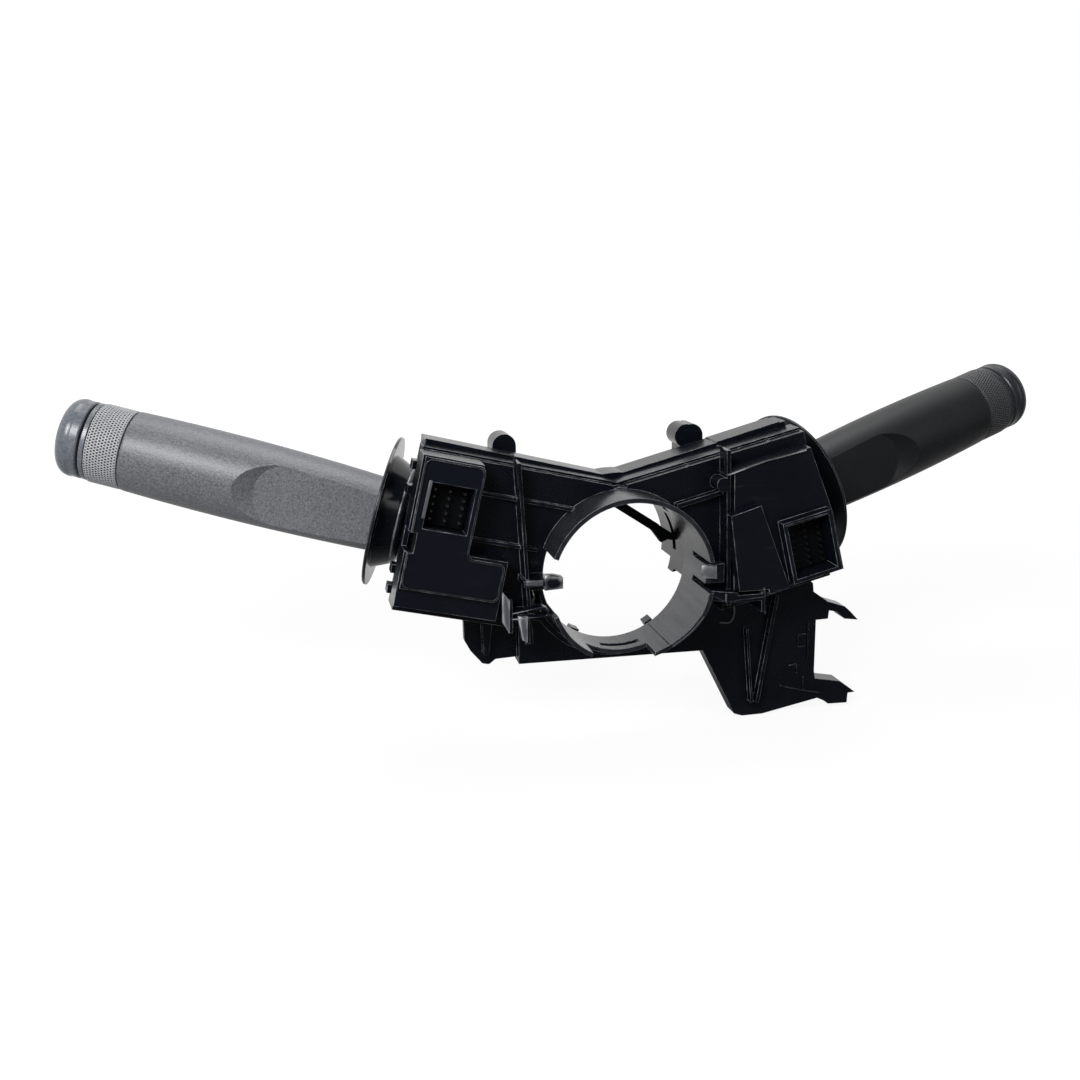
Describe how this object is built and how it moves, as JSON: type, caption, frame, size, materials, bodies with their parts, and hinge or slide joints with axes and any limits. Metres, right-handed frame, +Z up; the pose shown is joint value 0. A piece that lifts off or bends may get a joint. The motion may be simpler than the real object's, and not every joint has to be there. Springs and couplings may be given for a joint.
{
  "type": "combination stalk switch",
  "caption": "Steering-column switch: a collar-mounted winged housing with two stalks that tilt and pull, each ending in a turning ring and a push button, and plug sockets behind.",
  "frame": {"origin": "centre of the column collar's bore, half way along the collar", "axes": "+Y along the steering column towards the steering wheel, -Y towards the dash, +Z up, +X towards the light stalk"},
  "size_m": [0.3958, 0.092, 0.1314],
  "materials": {
    "housing_plastic": "black glass-filled moulding with a slight sheen, bluish where it is lit",
    "case_plastic": "black moulded plastic, smoother than the carrier",
    "stalk_plastic": "dark grey fine-grained soft-touch plastic",
    "ring_plastic": "dark grey plastic with a diamond knurl",
    "cap_plastic": "bluish dark grey satin plastic",
    "shield_plastic": "glossy black moulded plastic",
    "inner_plastic": "natural acetal, dull",
    "circuit_board": "green solder mask",
    "pin_metal": "tinned terminals",
    "steel": "plain turned or drawn steel"
  },
  "bodies": {
    "housing": {"column_carrier": "housing_plastic", "front_cover": "housing_plastic", "cover_screws": "steel", "wiper_switch_case": "case_plastic", "wiper_case_cover": "case_plastic", "wiper_circuit_board": "circuit_board", "wiper_pin_header": "case_plastic", "wiper_terminal_pins": "pin_metal", "light_switch_case": "case_plastic", "light_case_cover": "case_plastic", "light_circuit_board": "circuit_board", "light_pin_header": "case_plastic", "light_terminal_pins": "pin_metal", "light_detent_track": "inner_plastic", "wiper_detent_track": "inner_plastic", "pawl_pin": "steel", "pawl_spring": "steel"},
    "cancel_pawl": {"cancel_pawl": "case_plastic"},
    "light_yoke": {"light_yoke": "inner_plastic", "light_yoke_pin": "steel", "light_lever_pin": "steel", "light_detent_plunger": "inner_plastic", "light_detent_spring": "steel"},
    "light_lever": {"light_lever_stem": "inner_plastic", "light_dust_shield": "shield_plastic", "light_stalk_shell": "stalk_plastic", "light_trim_ring": "cap_plastic", "light_button_spring": "steel"},
    "light_ring": {"light_rotary_ring": "ring_plastic"},
    "light_button": {"light_end_button": "cap_plastic"},
    "wiper_yoke": {"wiper_yoke": "inner_plastic", "wiper_yoke_pin": "steel", "wiper_lever_pin": "steel", "wiper_detent_plunger": "inner_plastic", "wiper_detent_spring": "steel"},
    "wiper_lever": {"wiper_lever_stem": "inner_plastic", "wiper_dust_shield": "shield_plastic", "wiper_stalk_shell": "stalk_plastic", "wiper_trim_ring": "cap_plastic", "wiper_button_spring": "steel"},
    "wiper_ring": {"wiper_rotary_ring": "ring_plastic"},
    "wiper_button": {"wiper_end_button": "cap_plastic"}
  },
  "joints": [
    {"name": "light_up_down", "type": "hinge", "parent": "housing", "child": "light_yoke", "pos_m": [0.04374, 0.02535, 0.00816], "axis": [0.2504, -0.9681, 0], "range_deg": [-7, 7]},
    {"name": "light_pull", "type": "hinge", "parent": "light_yoke", "child": "light_lever", "pos_m": [0.05215, 0.02752, 0.0105], "axis": [-0.2522, -0.0652, 0.9655], "range_deg": [-4, 4], "stiffness_Nm_per_rad": 6},
    {"name": "light_ring_turn", "type": "hinge", "parent": "light_lever", "child": "light_ring", "pos_m": [0.083, 0.0355, 0.0191], "axis": [0.9347, 0.2417, 0.2605], "range_deg": [0, 75]},
    {"name": "light_button_press", "type": "slide", "parent": "light_lever", "child": "light_button", "axis": [0.9347, 0.2417, 0.2605], "range_m": [-0.0008, 0], "stiffness_N_per_m": 1200, "springref_m": 0.0015},
    {"name": "wiper_up_down", "type": "hinge", "parent": "housing", "child": "wiper_yoke", "pos_m": [-0.04374, 0.02535, 0.00816], "axis": [0.2504, 0.9681, 0], "range_deg": [-10, 5]},
    {"name": "wiper_pull", "type": "hinge", "parent": "wiper_yoke", "child": "wiper_lever", "pos_m": [-0.05215, 0.02752, 0.0105], "axis": [-0.2522, 0.0652, -0.9655], "range_deg": [0, 4], "stiffness_Nm_per_rad": 6},
    {"name": "wiper_ring_turn", "type": "hinge", "parent": "wiper_lever", "child": "wiper_ring", "pos_m": [-0.083, 0.0355, 0.0191], "axis": [-0.9347, 0.2417, 0.2605], "range_deg": [-40, 40]},
    {"name": "wiper_button_press", "type": "slide", "parent": "wiper_lever", "child": "wiper_button", "axis": [-0.9347, 0.2417, 0.2605], "range_m": [-0.0008, 0], "stiffness_N_per_m": 1200, "springref_m": 0.0015},
    {"name": "cancel_pawl_swing", "type": "hinge", "parent": "housing", "child": "cancel_pawl", "pos_m": [-0.0125, 0.027, 0.0323], "axis": [0, 1, 0], "range_deg": [-3, 4], "stiffness_Nm_per_rad": 0.02}
  ]
}
